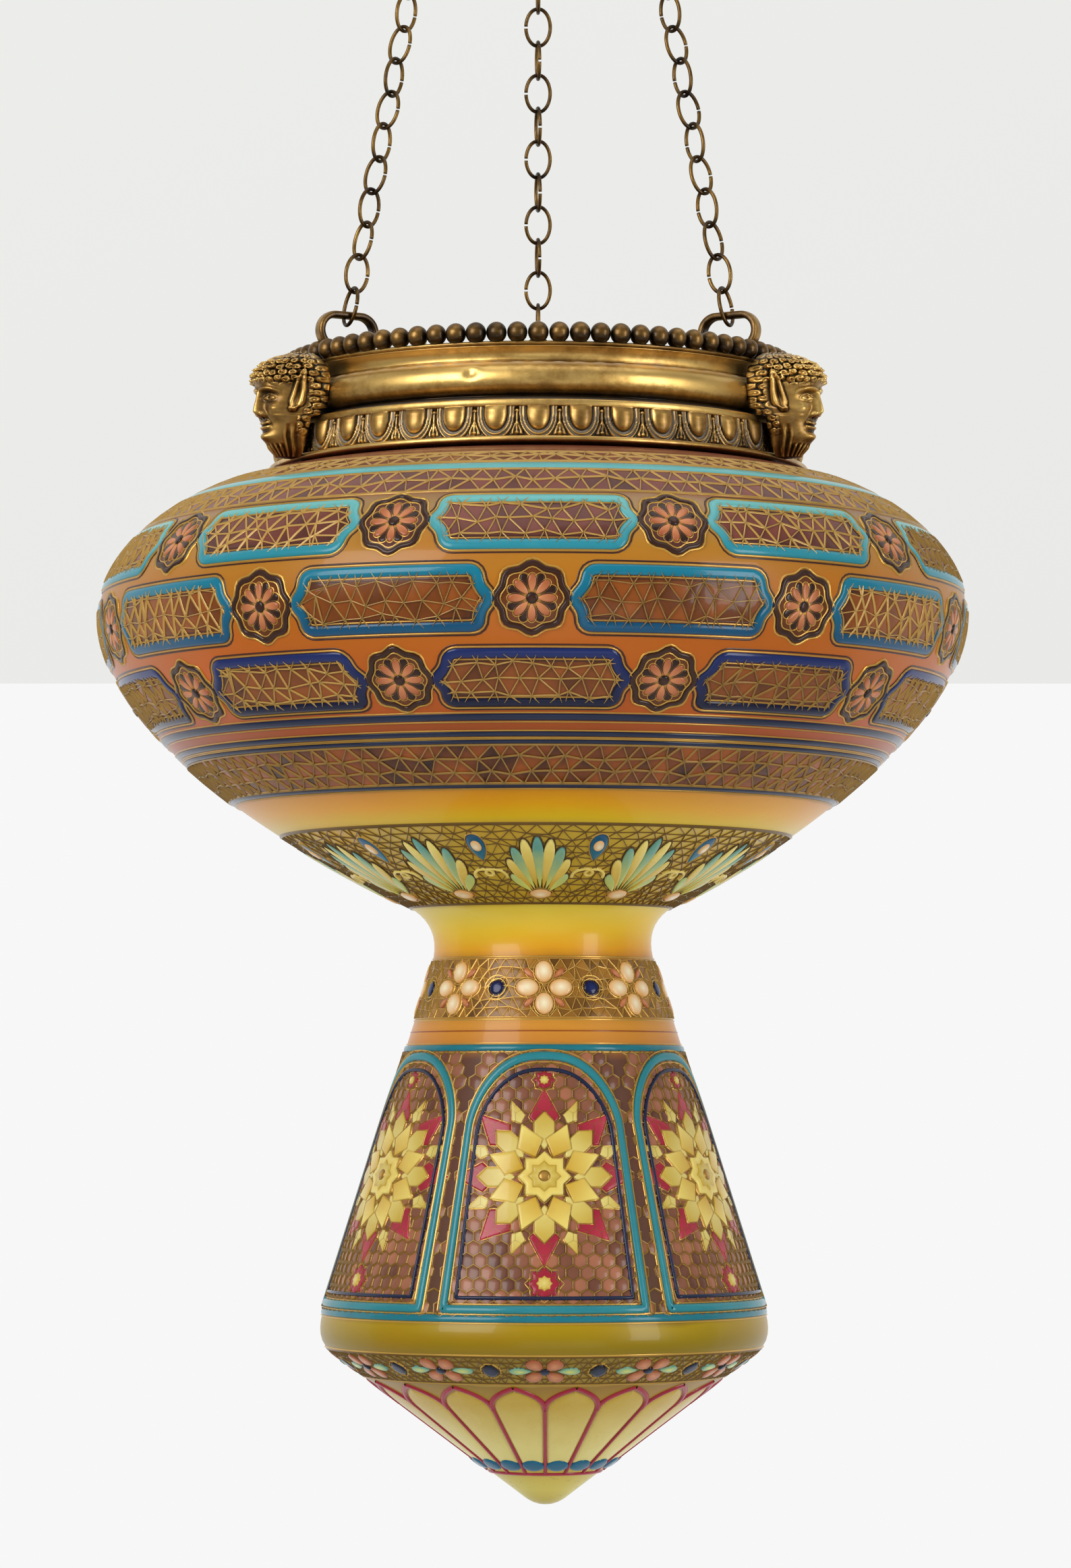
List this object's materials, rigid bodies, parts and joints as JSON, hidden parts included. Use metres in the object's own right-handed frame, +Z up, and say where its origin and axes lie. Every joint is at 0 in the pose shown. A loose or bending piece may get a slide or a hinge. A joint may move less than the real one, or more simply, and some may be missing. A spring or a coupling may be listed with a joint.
{
  "type": "hanging mosque lamp",
  "caption": "Hanging mosque lamp: enamelled glass bowl on a waisted cone, in a gilt-bronze collar with beads, egg-and-dart and masks, hung by chains; an oil cup lifts out.",
  "frame": {"origin": "centre of the hanging eye's bore, where a ceiling hook holds the lamp", "axes": "+Z up along the lamp's axis, -Y the front seen in the picture, +X to its right"},
  "size_m": [0.4027, 0.4028, 1.0263],
  "materials": {
    "gilt_bronze": "aged gilt bronze, dark in the recesses",
    "plain_brass": "plain turned brass",
    "plaster": "set plaster",
    "amber_glass": "amber glass with coloured enamel",
    "clear_glass": "clear pressed glass",
    "cotton": "plaited cotton"
  },
  "bodies": {
    "hanger": {"hanging_eye": "gilt_bronze"},
    "ring": {"hanging_ring": "gilt_bronze"},
    "crown": {"chain_crown": "gilt_bronze"},
    "chain_left": {"chain_left": "gilt_bronze"},
    "chain_right": {"chain_right": "gilt_bronze"},
    "chain_back": {"chain_back": "gilt_bronze"},
    "lamp": {"loop_left": "gilt_bronze", "loop_right": "gilt_bronze", "loop_back": "gilt_bronze", "loop_nuts": "plain_brass", "bead_rim": "gilt_bronze", "rim_screws": "plain_brass", "collar_band": "gilt_bronze", "egg_and_dart_band": "gilt_bronze", "plaster_bed": "plaster", "mask_left": "gilt_bronze", "mask_right": "gilt_bronze", "mask_back": "gilt_bronze", "mask_studs": "plain_brass", "glass_vessel": "amber_glass", "cup_cradle": "plain_brass"},
    "cup": {"oil_cup": "clear_glass", "wick_holder": "plain_brass", "wick": "cotton"}
  },
  "joints": [
    {"name": "side_sway", "type": "hinge", "parent": "hanger", "child": "ring", "pos_m": [0, 0, -0.01973], "axis": [0, 1, 0], "range_deg": [-10, 10]},
    {"name": "fore_aft_sway", "type": "hinge", "parent": "ring", "child": "crown", "pos_m": [0, 0, -0.03373], "axis": [1, 0, 0], "range_deg": [-10, 10]},
    {"name": "lamp_twist", "type": "hinge", "parent": "crown", "child": "lamp", "pos_m": [0, 0, -0.08321], "axis": [0, 0, 1], "range_deg": [-15, 15], "stiffness_Nm_per_rad": 0.6},
    {"name": "chain_left_turn", "type": "hinge", "parent": "crown", "child": "chain_left", "pos_m": [-0.01819, -0.0105, -0.08321], "axis": [-0.0466, -0.0269, 0.9985], "range_deg": [-16, 16]},
    {"name": "chain_right_turn", "type": "hinge", "parent": "crown", "child": "chain_right", "pos_m": [0.01819, -0.0105, -0.08321], "axis": [0.0466, -0.0269, 0.9985], "range_deg": [-16, 16]},
    {"name": "chain_back_turn", "type": "hinge", "parent": "crown", "child": "chain_back", "pos_m": [0, 0.021, -0.08321], "axis": [0, 0.0538, 0.9985], "range_deg": [-16, 16]},
    {"name": "cup_lift", "type": "slide", "parent": "lamp", "child": "cup", "axis": [0, 0, 1], "range_m": [0, 0.06]}
  ],
  "couplings": [
    {"joint": "chain_left_turn", "follows": "lamp_twist", "ratio": 1},
    {"joint": "chain_right_turn", "follows": "lamp_twist", "ratio": 1},
    {"joint": "chain_back_turn", "follows": "lamp_twist", "ratio": 1}
  ]
}
